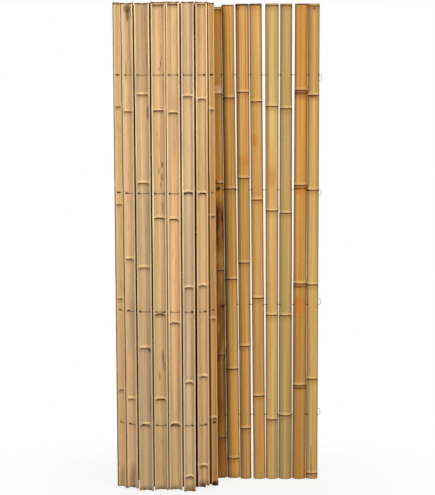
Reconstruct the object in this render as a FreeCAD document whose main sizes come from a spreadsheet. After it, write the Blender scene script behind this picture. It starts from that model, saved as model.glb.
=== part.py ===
import FreeCAD, Part
import math
import os
from collections import namedtuple

import Sketcher
from FreeCAD import Placement, Rotation, Vector

# A bamboo fence mat: split canes threaded on galvanised wires through holes
# in their flanks. It stands upright, one end open flat and the rest rolled up.
# Millimetres and degrees. Z is up, the open end runs to +X, and its skin side
# looks to -Y. The origin is on the ground, in the middle of the mat's extent.

# Driving sizes of the whole mat
SIZES = {
    "slat_height": 1800,
    "wall_foot": 6,
    "wall_head": 5,
    "node_rise": 0.7,
    "node_reach": 4,
    "ledge_thickness": 3.5,
    "end_margin": 10,
    "wire_gauge": 1.6,
    "hole_clearance": 1.25,
    "hole_inset": 9,
    "wire_drop": 0.7,
    "wire_foot_margin": 248,
    "wire_head_margin": 264,
    "bend_share": 0.9,
    "loop_stub": 0.5,
    "loop_radius": 9,
    "loop_side": 6,
    "loop_tail": 8,
    "loop_tilt": 28,
    "open_heading": 180,
}

# Cutting list: one row for each split cane, from the open edge to the core.
# Widths and gaps are given at the foot and at the head, because a cane tapers.
# The turn is the wires' bend in the gap before the cane. The nodes start at
# first_node, and their spacing starts at internode and grows by growth.
SLAT_COLUMNS = (
    "width_foot", "width_head", "gap_foot", "gap_head", "turn",
    "first_node", "internode", "growth", "ledge", "foot_lift", "head_drop",
)
SLATS = (
    # The open end, skin side to the front
    (43, 43, 0, 0, 0, 20, 364, -3, 6, 0, 0),
    (51.5, 47, 1.5, 1.5, 0, 361, 388, -16, 7, 0, 0),
    (51.5, 44.5, 1.5, 11, 0, 245, 383, 5, 6, 0, 0),
    (46, 51, 1.5, 5.5, 0, 229, 400, -4, 7, 0, 0),
    (46, 46.5, 1.5, 13, 0, 319, 375, -3, 5, 0, 0),
    (42.5, 51, 7.5, 1.5, 0, 194, 316, 2, 6, 0, 1),
    (48, 45, 1.5, 6, 0, 79, 344, -1, 7, 3, 4),
    (44, 44, 1.5, 1.5, 0, 160, 317, 6, 6, 3, 12),
    # The back of the roll
    (49, 46, 6, 5, 7, 118, 352, 3, 6, 0, 2),
    (47, 51, 7, 3.5, 1, 291, 341, 6, 8, 0, 0),
    (48, 45, 5.5, 5.5, 0, 64, 366, -4, 5, 2, 3),
    (46, 49, 7.5, 3.5, 0, 206, 329, 5, 6, 0, 1),
    (53, 49, 4.5, 6, 1, 333, 374, 2, 9, 0, 0),
    (44, 47, 7.5, 3.5, 9, 142, 308, 7, 5, 3, 5),
    (48, 46, 5, 5.5, 31, 270, 357, -2, 6, 0, 2),
    (44, 46, 5, 4, 40, 95, 339, 4, 7, 1, 0),
    # The front of the roll, with the hollow of the canes outside
    (48, 44, 10, 3.5, 40, 372, 341, 9, 6, 2, 3),
    (46, 47, 2.5, 1.5, 22, 344, 520, 21, 6, 6, 3),
    (54, 56, 3, 4, 18, 250, 286, 12, 7, 0, 4),
    (51, 52, 3.5, 5.5, 6, 347, 316, 38, 6, 5, 1),
    (49, 49, 3.5, 2.5, 0, 255, 376, 6, 6, 6, 0),
    (44, 47, 3.5, 4.5, 9, 59, 352, -1, 9, 0, 0),
    (47, 46, 6, 3.5, 22, 97, 334, 3, 9, 16, 0),
    (47, 44, 8.5, 1.5, 37, 268, 371, 10, 6, 20, 2),
    # The inner turn and the core
    (44, 46, 4, 2.5, 38, 176, 344, 3, 6, 4, 3),
    (48, 45, 2.5, 3, 36, 302, 361, -5, 7, 0, 0),
    (45, 47, 3.5, 3, 30, 88, 325, 8, 6, 3, 4),
    (49, 46, 2, 3.5, 13, 231, 370, 0, 6, 0, 1),
    (45, 48, 4, 2, 10, 129, 347, 2, 5, 2, 6),
    (47, 45, 3, 3.5, 33, 318, 355, 4, 8, 4, 0),
    (44, 46, 3.5, 3, 52, 212, 336, 6, 6, 0, 2),
    (48, 45, 3, 4, 50, 71, 364, -3, 6, 3, 3),
    (46, 47, 3, 2, 38, 284, 349, 5, 7, 0, 0),
    (47, 45, 2.5, 3, 10, 153, 322, 9, 6, 5, 4),
    (45, 46, 3, 2.5, 2, 240, 358, 0, 6, 1, 1),
)

# Wire rows from the foot up: name, shift from an even spacing, and whether the
# end loops curl up or down
WIRES = (
    ("foot_wire", 0, 1),
    ("lower_wire", -8, 1),
    ("upper_wire", -2, -1),
    ("head_wire", 0, -1),
)

UP = Vector(0, 0, 1)

Vertex = namedtuple("Vertex", "foot head before after")
Station = namedtuple("Station", "number heading foot head")


def fill_sheet(doc):
    """Put every driving size in the sheet, each under a name of its own."""
    sheet = doc.addObject("Spreadsheet::Sheet", "Sizes")
    rows = dict(SIZES)
    for number, row in enumerate(SLATS, 1):
        for column, value in zip(SLAT_COLUMNS, row):
            rows[f"{column}_{number:02d}"] = value
    for name, shift, _ in WIRES:
        rows[f"{name}_shift"] = shift
    for line, (name, value) in enumerate(rows.items(), 1):
        sheet.set(f"A{line}", name)
        sheet.set(f"B{line}", str(value))
        sheet.setAlias(f"B{line}", name)
    doc.recompute()
    return sheet


def size(name):
    """A size as it stands in the sheet."""
    return float(sizes.get(name))


def slat_size(column, number):
    return size(f"{column}_{number:02d}")


# Heights along a cane

def tapered(column, number, height):
    """A size that changes evenly from a cane's foot to its head."""
    foot = slat_size(f"{column}_foot", number)
    head = slat_size(f"{column}_head", number)
    return foot + (head - foot) * height / size("slat_height")


def node_heights(number):
    """Expressions for the heights of a cane's nodes, with none in its cut ends."""
    lowest = slat_size("foot_lift", number) + size("end_margin")
    highest = size("slat_height") - slat_size("head_drop", number) - size("end_margin")
    heights = []
    count = 0
    reached = slat_size("first_node", number)
    while reached < highest:
        grown = count * (count - 1) // 2
        if reached > lowest:
            heights.append(
                f"Sizes.first_node_{number:02d} + {count} * Sizes.internode_{number:02d}"
                f" + {grown} * Sizes.growth_{number:02d}"
            )
        reached += slat_size("internode", number) + count * slat_size("growth", number)
        count += 1
    return heights


def wire_height(row):
    """Expression for the height of a row of holes."""
    name = WIRES[row][0]
    spacing = (
        f"(Sizes.slat_height - Sizes.wire_foot_margin - Sizes.wire_head_margin)"
        f" / {len(WIRES) - 1}"
    )
    return f"Sizes.wire_foot_margin + {row} * {spacing} + Sizes.{name}_shift"


# Sketches with every point held by the sheet

def origin_plane(body, role):
    """One of a body's own origin planes."""
    return [feature for feature in body.Origin.OriginFeatures if feature.Role == role][0]


def new_sketch(body, name, role):
    sketch = body.newObject("Sketcher::SketchObject", name)
    sketch.AttachmentSupport = [(origin_plane(body, role), "")]
    sketch.MapMode = "FlatFace"
    return sketch


def closed_outline(body, name, role, points):
    """A closed sketch of straight lines through points given as expressions."""
    sketch = new_sketch(body, name, role)
    places = [
        Vector(float(sketch.evalExpression(across)), float(sketch.evalExpression(up)), 0)
        for across, up in points
    ]
    count = len(places)
    sketch.addGeometry(
        [Part.LineSegment(places[i], places[(i + 1) % count]) for i in range(count)], False
    )
    joined = [Sketcher.Constraint("Coincident", i, 2, (i + 1) % count, 1) for i in range(count)]
    held = []
    for i, place in enumerate(places):
        held.append(Sketcher.Constraint("DistanceX", -1, 1, i, 1, place.x))
        held.append(Sketcher.Constraint("DistanceY", -1, 1, i, 1, place.y))
    sketch.addConstraint(joined + held)
    for i, (across, up) in enumerate(points):
        sketch.setExpression(f"Constraints[{count + 2 * i}]", across)
        sketch.setExpression(f"Constraints[{count + 2 * i + 1}]", up)
    return sketch


# Split canes

def wall_outline(number):
    """Points of a cane's wall: its skin with the nodes up one side, and its
    hollow with what is left of the diaphragms down the other. The internodes
    are straight, and the taper is taken up in steps at the nodes."""
    tag = f"{number:02d}"
    foot = f"Sizes.foot_lift_{tag}"
    head = f"Sizes.slat_height - Sizes.head_drop_{tag}"
    nodes = node_heights(number)
    ends = [foot] + nodes + [head]
    skins = []
    hollows = []
    for low, high in zip(ends, ends[1:]):
        share = f"({low} + {high}) / 2 / Sizes.slat_height"
        skins.append(
            f"(Sizes.width_foot_{tag} + (Sizes.width_head_{tag} - Sizes.width_foot_{tag})"
            f" * {share}) / 2"
        )
        wall = f"Sizes.wall_foot + (Sizes.wall_head - Sizes.wall_foot) * {share}"
        hollows.append(f"{skins[-1]} - ({wall})")
    points = [(skins[0], foot)]
    for node, below, above in zip(nodes, skins, skins[1:]):
        points.append((below, f"{node} - Sizes.node_reach"))
        points.append((f"({below} + {above}) / 2 + Sizes.node_rise", node))
        points.append((above, f"{node} + Sizes.node_reach"))
    points.append((skins[-1], head))
    points.append((hollows[-1], head))
    for node, below, above in reversed(list(zip(nodes, hollows, hollows[1:]))):
        tip = f"({below} + {above}) / 2 - Sizes.ledge_{tag}"
        points.append((above, f"{node} + Sizes.ledge_thickness / 2"))
        points.append((tip, f"{node} + Sizes.ledge_thickness / 2"))
        points.append((tip, f"{node} - Sizes.ledge_thickness / 2"))
        points.append((below, f"{node} - Sizes.ledge_thickness / 2"))
    points.append((hollows[0], foot))
    return points


def drill_rows(body, tag):
    """Drill both flanks for every wire."""
    sketch = new_sketch(body, f"Rows_{tag}", "YZ_Plane")
    bore = "Sizes.wire_gauge / 2 + Sizes.hole_clearance"
    radius = float(sketch.evalExpression(bore))
    inset = size("hole_inset")
    for row in range(len(WIRES)):
        height = float(sketch.evalExpression(wire_height(row)))
        hole = sketch.addGeometry(Part.Circle(Vector(inset, height, 0), UP, radius), False)
        for kind, value, expression in (
            ("DistanceX", inset, "Sizes.hole_inset"),
            ("DistanceY", height, wire_height(row)),
        ):
            held = sketch.addConstraint(Sketcher.Constraint(kind, -1, 1, hole, 3, value))
            sketch.setExpression(f"Constraints[{held}]", expression)
        held = sketch.addConstraint(Sketcher.Constraint("Radius", hole, radius))
        sketch.setExpression(f"Constraints[{held}]", bore)
    holes = body.newObject("PartDesign::Pocket", f"Holes_{tag}")
    holes.Profile = sketch
    holes.Type = "ThroughAll"
    holes.Midplane = True
    return holes


def split_cane(doc, station):
    """Half a cane: its wall turned half round, then drilled."""
    tag = f"{station.number:02d}"
    body = doc.addObject("PartDesign::Body", f"Slat_{tag}")
    body.Label = f"slat_{tag}"
    wall = closed_outline(body, f"Wall_{tag}", "XZ_Plane", wall_outline(station.number))
    cane = body.newObject("PartDesign::Revolution", f"Cane_{tag}")
    cane.Profile = wall
    cane.ReferenceAxis = (wall, ["V_Axis"])
    cane.Angle = 180
    drill_rows(body, tag)
    stand_cane(body, station)
    return body


def stand_cane(body, station):
    """Stand a cane along its own line, its hollow behind the wires."""
    lean = (station.head - station.foot).normalize()
    along = direction(station.heading)
    along = (along - lean * along.dot(lean)).normalize()
    outward = lean.cross(along)
    turned = Rotation(along, outward, lean, "ZXY")
    body.Placement = Placement(station.foot - outward * size("hole_inset"), turned)


# The mat's course in plan

def direction(heading):
    return Vector(math.cos(math.radians(heading)), math.sin(math.radians(heading)), 0)


def skin_side(heading):
    """The side of the mat that the skin is on, square to its course."""
    return direction(heading + 90)


def lay_out_mat():
    """Stations of the canes and the wires' bends between them, at foot and head
    level, moved so that the mat's extent is centred and its lowest corner is down."""
    heading = size("open_heading")
    ends = {"foot": Vector(), "head": UP * size("slat_height")}
    vertices = [Vertex(ends["foot"], ends["head"], heading, heading)]
    stations = []
    for number in range(1, len(SLATS) + 1):
        before = direction(heading)
        new_heading = heading + slat_size("turn", number)
        along = direction(new_heading)
        centres = {}
        bends = {}
        for level, end in ends.items():
            gap = slat_size(f"gap_{level}", number)
            width = slat_size(f"width_{level}", number)
            bends[level] = end + before * (gap / 2)
            start = bends[level] + along * (gap / 2)
            centres[level] = start + along * (width / 2)
            ends[level] = start + along * width
        if number > 1:
            vertices.append(Vertex(bends["foot"], bends["head"], heading, new_heading))
        stations.append(Station(number, new_heading, centres["foot"], centres["head"]))
        heading = new_heading
    vertices.append(Vertex(ends["foot"], ends["head"], heading, heading))
    move = centring(stations)
    return (
        [item._replace(foot=item.foot + move, head=item.head + move) for item in stations],
        [item._replace(foot=item.foot + move, head=item.head + move) for item in vertices],
    )


def centring(stations):
    """How far to move the mat to centre it over the origin, on the ground."""
    corners = []
    lowest = 0
    for station in stations:
        along = direction(station.heading)
        outward = skin_side(station.heading)
        for level, end in (("foot", station.foot), ("head", station.head)):
            radius = slat_size(f"width_{level}", station.number) / 2
            middle = end - outward * size("hole_inset")
            corners += [middle - along * radius, middle + along * radius]
            corners.append(middle + outward * radius)
        run = station.head - station.foot
        lean = math.hypot(run.x, run.y) / run.Length
        foot_radius = slat_size("width_foot", station.number) / 2
        lowest = min(lowest, slat_size("foot_lift", station.number) - foot_radius * lean)
    first = stations[0]
    loop = loop_height() * math.sin(math.radians(size("loop_tilt"))) + size("wire_gauge") / 2
    proud = size("loop_stub") + size("loop_radius") + size("wire_gauge") / 2
    edge = first.foot - direction(first.heading) * (slat_size("width_foot", 1) / 2 + proud)
    corners.append(edge - skin_side(first.heading) * loop)
    across = [corner.x for corner in corners]
    deep = [corner.y for corner in corners]
    return Vector(-(min(across) + max(across)) / 2, -(min(deep) + max(deep)) / 2, -lowest)


# Wires

def loop_height():
    return 2 * size("loop_radius") + size("loop_side")


def quarter(start, middle_of_turn, end):
    """A quarter turn about a centre, from its start to its end."""
    halfway = (start + end) / 2 - middle_of_turn
    radius = (start - middle_of_turn).Length
    return Part.Arc(start, middle_of_turn + halfway.normalize() * radius, end).toShape()


def straight(start, end):
    return Part.LineSegment(start, end).toShape()


def end_loop(edge, outward, sideways):
    """A wire's end: out of the last cane, round in a loop and back behind the
    rim. The edges run from the cane to the tip."""
    radius = size("loop_radius")
    leave = edge + outward * size("loop_stub")
    first_centre = leave + sideways * radius
    first_end = first_centre + outward * radius
    second_centre = first_centre + sideways * size("loop_side")
    second_start = second_centre + outward * radius
    second_end = second_centre + sideways * radius
    tip = second_end - outward * size("loop_tail")
    edges = [
        quarter(leave, first_centre, first_end),
        straight(first_end, second_start),
        quarter(second_start, second_centre, second_end),
        straight(second_end, tip),
    ]
    return leave, edges, tip


def bend(corner, before, after, reach):
    """The start, the middle and the end of a wire's bend in a gap."""
    half_turn = math.radians(after - before) / 2
    radius = reach / math.tan(half_turn)
    start = corner - direction(before) * reach
    end = corner + direction(after) * reach
    inward = (direction(after) - direction(before)).normalize()
    middle = corner + inward * (radius / math.cos(half_turn) - radius)
    return start, middle, end


def free_run(number, height):
    """How far a wire runs free from a gap's middle to a cane's drilled flank."""
    radius = tapered("width", number, height) / 2
    return radius - math.sqrt(radius ** 2 - size("hole_inset") ** 2)


def wire_course(vertices, row):
    """A wire's centre line, from the tip of one end loop to the tip of the other."""
    name, _, curl = WIRES[row]
    height = float(sizes.evalExpression(wire_height(row)))
    share = height / size("slat_height")

    def at_height(vertex):
        return vertex.foot + (vertex.head - vertex.foot) * share - UP * size("wire_drop")

    tilt = math.radians(size("loop_tilt"))
    first = vertices[0]
    last = vertices[-1]
    turned_back = UP * (curl * math.cos(tilt))
    start, opening, tip = end_loop(
        at_height(first), -direction(first.after),
        turned_back - skin_side(first.after) * math.sin(tilt),
    )
    stop, closing, _ = end_loop(
        at_height(last), direction(last.before),
        turned_back - skin_side(last.before) * math.sin(tilt),
    )
    edges = list(reversed(opening))
    reached = start
    for number, vertex in enumerate(vertices[1:-1], 2):
        if vertex.after == vertex.before:
            continue
        spare = min(free_run(number - 1, height), free_run(number, height))
        reach = size("bend_share") * (tapered("gap", number, height) / 2 + spare)
        enter, middle, leave = bend(at_height(vertex), vertex.before, vertex.after, reach)
        edges.append(straight(reached, enter))
        edges.append(Part.Arc(enter, middle, leave).toShape())
        reached = leave
    edges.append(straight(reached, stop))
    edges += closing
    return name, edges, tip, direction(first.before)


def threaded_wire(doc, vertices, row):
    """A round wire swept along its course."""
    name, edges, tip, toward = wire_course(vertices, row)
    course = doc.addObject("Part::Feature", f"{name}_course")
    course.Shape = Part.Wire(Part.__sortEdges__(edges))
    section = doc.addObject("Part::Circle", f"{name}_section")
    section.setExpression("Radius", "Sizes.wire_gauge / 2")
    section.Placement = Placement(tip, Rotation(UP, -toward))
    wire = doc.addObject("Part::Sweep", name)
    wire.Label = name
    wire.Sections = [section]
    wire.Spine = (course, [])
    wire.Solid = True
    return wire


# Checks and export

def check_sound(doc, parts):
    """Stop if any object failed or any sub-part is empty or broken."""
    for item in doc.Objects:
        if "Invalid" in item.State or "Error" in item.State:
            raise RuntimeError(f"{item.Label} did not build: {item.State}")
    for part in parts:
        if part.Shape.isNull() or not part.Shape.isValid():
            raise RuntimeError(f"{part.Label} has no valid shape")
        if len(part.Shape.Solids) != 1:
            raise RuntimeError(f"{part.Label} is not one solid")


def write_parts(parts):
    os.makedirs("parts", exist_ok=True)
    for part in parts:
        part.Shape.exportStep(f"parts/{part.Label}.step")


doc = FreeCAD.newDocument("bamboo_mat")
sizes = fill_sheet(doc)
stations, vertices = lay_out_mat()
parts = [split_cane(doc, station) for station in stations]
parts += [threaded_wire(doc, vertices, row) for row in range(len(WIRES))]
doc.recompute()
check_sound(doc, parts)
write_parts(parts)
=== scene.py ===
import math
from collections import namedtuple

import bpy
import numpy as np
from bpy.props import FloatProperty, FloatVectorProperty, IntProperty, PointerProperty
from bpy.types import Operator, Panel, PropertyGroup
from mathutils import Matrix, Vector


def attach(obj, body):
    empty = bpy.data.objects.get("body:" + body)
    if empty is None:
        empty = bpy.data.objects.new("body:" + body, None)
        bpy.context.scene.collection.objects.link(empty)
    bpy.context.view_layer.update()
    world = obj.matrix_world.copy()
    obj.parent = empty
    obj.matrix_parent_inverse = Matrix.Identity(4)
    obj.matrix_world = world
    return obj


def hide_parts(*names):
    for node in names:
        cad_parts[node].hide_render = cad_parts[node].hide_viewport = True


bl_info = {
    "name": "Rolled Bamboo Fence Mat",
    "version": (1, 0, 0),
    "blender": (4, 5, 0),
    "location": "View3D > Sidebar > Fence",
    "description": "Dresses a fence mat's split canes and wires, and lights it",
    "category": "Object",
}

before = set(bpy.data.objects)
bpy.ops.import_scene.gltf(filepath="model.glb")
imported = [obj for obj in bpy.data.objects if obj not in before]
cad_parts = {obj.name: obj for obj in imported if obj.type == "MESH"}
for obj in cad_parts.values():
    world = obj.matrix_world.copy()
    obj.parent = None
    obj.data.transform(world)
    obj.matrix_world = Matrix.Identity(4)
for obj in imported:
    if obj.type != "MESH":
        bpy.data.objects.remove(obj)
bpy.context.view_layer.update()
MM = 0.001

# The mat's pieces: the canes' numbers run from the free edge to the inner end
OPEN_END = range(1, 9)
ROLL_BACK = range(9, 17)
ROLL_FRONT = range(17, 25)
ROLL_INSIDE = range(25, 36)
WIRES = ("foot_wire", "lower_wire", "upper_wire", "head_wire")


def linear(red, green, blue):
    """A screen colour, each part from 0 to 255, as Blender's linear colour."""
    parts = (red / 255, green / 255, blue / 255)
    return tuple(p / 12.92 if p <= 0.04 else ((p + 0.055) / 1.055) ** 2.4 for p in parts)


# Canes: the colour of the skin and of the hollow, how far the foot is worn and
# the diaphragms dome up in millimetres, how strong the fibres' streaks are, how
# far below the head a last scar lies, and how dark the head's edge is
Look = namedtuple("Look", "skin hollow worn dome streak crown tip")

OPEN_HOLLOW = linear(214, 180, 130)
ROLL_SKIN = linear(200, 158, 96)
LOOKS = {
    1: Look(linear(188, 154, 92), OPEN_HOLLOW, 0, 2, 0.7, 9, 0.3),
    2: Look(linear(186, 133, 57), OPEN_HOLLOW, 0, 2, 0.7, 0, 1),
    3: Look(linear(172, 143, 88), OPEN_HOLLOW, 0, 2, 0.7, 7, 0.3),
    4: Look(linear(198, 165, 105), OPEN_HOLLOW, 0, 2, 0.8, 8, 0.4),
    5: Look(linear(193, 149, 82), OPEN_HOLLOW, 0, 2, 0.7, 5, 0.7),
    6: Look(linear(183, 136, 67), OPEN_HOLLOW, 0, 2, 1, 5, 0.8),
    7: Look(linear(209, 156, 75), OPEN_HOLLOW, 1, 2, 0.9, 0, 0.9),
    8: Look(linear(195, 135, 48), OPEN_HOLLOW, 1, 2, 1, 11, 0.4),
    16: Look(linear(237, 201, 148), linear(208, 170, 118), 1, 3, 0.7, 0, 0.6),
    17: Look(ROLL_SKIN, linear(218, 183, 130), 3, 0, 0.8, 0, 1),
    18: Look(ROLL_SKIN, linear(204, 171, 129), 4, 1, 1, 0, 1),
    19: Look(ROLL_SKIN, linear(186, 158, 121), 3, 0, 0.8, 0, 1),
    20: Look(ROLL_SKIN, linear(199, 167, 124), 3, 5, 0.8, 8, 1),
    21: Look(ROLL_SKIN, linear(203, 171, 127), 3, 4, 0.6, 7, 1),
    22: Look(ROLL_SKIN, linear(193, 166, 130), 3, -5, 0.7, 0, 1),
    23: Look(ROLL_SKIN, linear(204, 169, 123), 4, -5, 0.7, 7, 1),
    24: Look(linear(190, 144, 84), linear(209, 163, 101), 4, -2, 0.9, 0, 1),
}
PLAIN_LOOKS = (
    Look(linear(206, 162, 100), linear(212, 176, 126), 2, 3, 0.8, 0, 0.5),
    Look(linear(196, 152, 88), linear(208, 172, 124), 2, 3, 0.9, 7, 0.4),
    Look(linear(210, 172, 112), linear(216, 180, 132), 3, 3, 0.7, 0, 0.6),
    Look(linear(188, 152, 94), linear(206, 168, 118), 2, 4, 0.8, 9, 0.3),
)

ORANGE = linear(176, 106, 32)
RED_BROWN = linear(104, 50, 14)
GREENISH = linear(150, 140, 66)
MOULD = linear(92, 64, 34)
OLIVE = linear(140, 114, 62)
DARK = linear(60, 31, 10)
BLACK = linear(20, 11, 6)
PALE = linear(226, 190, 140)
GREY = linear(150, 126, 104)
UMBER = linear(108, 66, 18)

# Marks on a side of a cane: heights and lengths in millimetres, around and width
# as a share of a quarter turn
Mark = namedtuple("Mark", "height around length width colour strength")

MARKS = {
    (1, "skin"): (
        (66, 0.098, 60, 0.08, DARK, 0.95), (1782, -0.02, 7, 0.16, RED_BROWN, 0.8),
        (1456, 0.1, 9, 0.5, RED_BROWN, 0.6), (900, -0.9, 900, 0.45, GREENISH, 0.4),
    ),
    (2, "skin"): (
        (666, 0, 36, 1.2, ORANGE, 0.6), (1464, 0, 22, 1.2, RED_BROWN, 0.4),
        (1107, 0, 24, 1.2, ORANGE, 0.5),
        *((height, 0, 4, 1.5, RED_BROWN, 0.9) for height in (1466, 1110, 738, 350)),
    ),
    (3, "skin"): (
        (900, 0.6, 900, 0.5, GREENISH, 0.15),
    ),
    (4, "skin"): (
        (1151, 0.1, 40, 0.6, ORANGE, 0.35),
    ),
    (5, "skin"): (
        (1291, 0.2, 26, 0.35, ORANGE, 0.7),
    ),
    (6, "skin"): (
        (1786, 0.6, 14, 0.4, RED_BROWN, 0.6), (1210, 0, 26, 1.2, ORANGE, 0.35),
    ),
    (7, "skin"): (
        (900, 0.8, 900, 0.6, OLIVE, 0.55),
    ),
    (8, "skin"): (
        (450, 0, 460, 1.6, UMBER, 0.8), (965, 0.1, 100, 1.3, RED_BROWN, 1),
        (990, 0, 46, 0.7, DARK, 0.6), (1476, 0, 20, 1.2, PALE, 0.4),
        (1132, 0.35, 14, 0.4, BLACK, 0.8), (1106, 0.1, 10, 0.5, BLACK, 0.8),
        (803, 0.1, 18, 0.6, DARK, 0.5), (660, -0.4, 8, 0.3, BLACK, 0.8),
        (462, 0, 16, 0.8, DARK, 0.5),
    ),
    (17, "hollow"): (
        (30, 0, 60, 1.0, MOULD, 0.35), (376, 0.3, 9, 0.4, DARK, 0.85),
    ),
    (18, "hollow"): (
        (1768, -0.3, 16, 0.5, MOULD, 0.75), (1744, -0.25, 22, 0.22, MOULD, 0.7),
        (1752, 0.25, 22, 0.14, MOULD, 0.5), (610, 0, 110, 1.1, GREY, 0.35),
        (1558, 0.2, 46, 0.12, OLIVE, 0.6), (1548, -0.5, 40, 0.14, OLIVE, 0.5),
        (30, 0, 60, 1.0, MOULD, 0.45),
    ),
    (19, "hollow"): (
        (1595, 0.5, 62, 0.16, OLIVE, 0.6), (1398, 0.58, 30, 0.26, MOULD, 0.75),
        (528, 0.5, 12, 0.3, DARK, 0.7), (324, 0.6, 45, 0.2, MOULD, 0.6),
    ),
    (20, "hollow"): (
        (655, 0, 14, 0.8, MOULD, 0.4), (1592, 0.28, 10, 0.07, MOULD, 0.7),
        (1570, 0.18, 12, 0.07, MOULD, 0.65), (1552, 0.02, 8, 0.06, MOULD, 0.5),
        (1205, 0.3, 12, 0.12, DARK, 0.8), (1180, -0.1, 14, 0.08, MOULD, 0.8),
        (1158, 0.25, 16, 0.1, DARK, 0.7), (1130, 0.1, 12, 0.1, MOULD, 0.7),
        (1050, 0.35, 26, 0.12, OLIVE, 0.8), (500, 0.2, 26, 0.12, MOULD, 0.8),
        (462, 0.4, 22, 0.14, MOULD, 0.8), (425, -0.2, 16, 0.1, MOULD, 0.7),
    ),
    (24, "skin"): (
        (40, 0, 90, 1.0, RED_BROWN, 0.4),
    ),
}

# Rise of the skin and depth of the diaphragm across a node: distance up the
# cane from the node's line and the height there, in millimetres
NODE_SKIN = (
    (-30, 0), (-16, 0.1), (-8, 0.25), (-3.5, 0.36), (-1.3, 0.44), (-0.6, 0.62), (0, 0.5),
    (0.6, -0.1), (1.3, -0.22), (2.4, -0.05), (3.5, 0.22), (6, 0.52), (9, 0.62), (13, 0.42),
    (19, 0.15), (28, 0),
)
NODE_LEDGE = (
    (-8, 0), (-3.5, 0.05), (-1.75, 0.14), (-1.6, 0.93), (-0.6, 1), (0.6, 1), (1.6, 0.9),
    (1.75, 0.14), (3.5, 0.04), (8, 0),
)
NODE_DOME = ((-34, 0), (-6, 1), (6, 1), (34, 0))
NODE_ROWS = (
    -30, -22, -16, -11, -8, -5.5, -3.5, -2.4, -1.75, -1.6, -1.3, -0.6, 0, 0.6, 1.3, 1.6,
    1.75, 2.4, 3.5, 6, 9, 13, 19, 28,
)
HEAD_ROWS = (22, 16, 13, 11, 9.5, 8, 6.5, 5, 3.5, 2)
BORE_ROWS = (-9, -5, -3.2, -2.2, 2.2, 3.2, 5, 9)
NODE_REACH = 60 * MM

# How much wider than their nodes the canes are that lie close, in millimetres
SWELL = {1: 0.35, 2: 0.35, 7: 0.35, 8: 0.35}

# The canes with a side that looks into the roll, and the painted shade that darkens that side
INSIDE = {"skin": (*range(9, 16), *range(18, 24), *ROLL_INSIDE), "hollow": ROLL_INSIDE}
SHADE = (0.26, 0.10, 0.03)

# The first canes of the inner turn, whose hollow gets light from the side, so their painted shade
# is lighter
HALF_LIT = {25: (0.85, 0.72, 0.60), 26: (0.55, 0.38, 0.25)}

# The canes whose skin shows and shines
SHINING = (*OPEN_END, 16)


# Sizes and colours a user would change

def colour_property(name, description, default):
    return FloatVectorProperty(
        name=name, description=description, default=default,
        subtype="COLOR", size=3, min=0, max=1,
    )


def share_property(name, description, default, least=0, most=1):
    return FloatProperty(
        name=name, description=description, default=default,
        min=least, max=most, subtype="FACTOR",
    )


def length_property(name, description, default, precision=4, least=0):
    return FloatProperty(
        name=name, description=description, default=default,
        unit="LENGTH", precision=precision, min=least,
    )


def power_property(name, description, default):
    return FloatProperty(
        name=name, description=description, default=default, min=0, unit="POWER"
    )


class CaneSizes(PropertyGroup):
    columns: IntProperty(
        name="Columns", description="Faces across a cane's half turn", default=20, min=8, max=48
    )
    row_step: length_property(
        "Row step", "Height of a face between two nodes", 18 * MM, least=4 * MM
    )
    edge_round: share_property(
        "Edge round", "Share of the wall taken by its rounded corners", 0.08, 0.01, 0.3
    )
    hole_radius: length_property(
        "Hole radius", "Radius of the holes for the wires", 2.05 * MM, least=0.5 * MM
    )
    hole_inset: length_property(
        "Hole inset", "Distance of the holes from the split faces", 9 * MM
    )
    hole_lift: length_property("Hole lift", "How far a hole's middle is above its wire", 0.7 * MM)
    split_waver: length_property(
        "Split waver", "Half of how far the split faces waver inwards", 0.4 * MM, precision=5
    )


class CaneColours(PropertyGroup):
    cut_face: colour_property(
        "Split face", "Colour of the freshly split wall", linear(234, 200, 150)
    )
    end_grain: colour_property("End grain", "Colour of the sawn ends", linear(146, 108, 66))
    node_line: colour_property("Node line", "Colour of the scar round a node", linear(84, 50, 20))
    node_band: colour_property(
        "Node band", "Colour of the swollen band above a node", linear(222, 182, 124)
    )
    fibre: colour_property("Fibre", "Colour of the dark fibres", linear(140, 96, 46))
    gloss: share_property("Skin roughness", "Roughness of the waxy skin", 0.46)


class WireFinish(PropertyGroup):
    zinc: colour_property("Zinc", "Colour of the galvanised wire", linear(40, 38, 34))
    spangle: colour_property("Spangle", "Colour of the zinc's dark grains", linear(20, 18, 16))
    bloom: colour_property("Bloom", "Colour of the weathered bloom", linear(150, 146, 138))
    roughness: share_property("Roughness", "Roughness of the weathered zinc", 0.42)


class StageSettings(PropertyGroup):
    floor: colour_property("Floor", "Colour of the floor", linear(240, 240, 240))
    key_power: power_property("Key light", "Power of the light from the right", 200)
    fill_power: power_property("Fill light", "Power of the light from the left", 165)
    back_power: power_property("Back light", "Power of the soft light behind the mat", 110)
    sky: FloatProperty(
        name="Sky", description="Strength of the even light from all round",
        default=0.24, min=0,
    )
    lens: FloatProperty(
        name="Lens", description="Focal length for a 36 mm frame height",
        default=135.4, min=10, unit="CAMERA",
    )
    eye_height: length_property("Eye height", "Height of the camera over the floor", 1.554)
    distance: length_property("Distance", "Distance of the camera from the mat's middle", 6.886)
    sidestep: FloatProperty(
        name="Sidestep", description="How far the camera stands to the right of the mat's middle",
        default=-0.0033, unit="LENGTH", precision=4,
    )
    tilt: FloatProperty(
        name="Tilt", description="How far the camera looks down",
        default=math.radians(5.45), subtype="ANGLE",
    )


# Nodes

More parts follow.
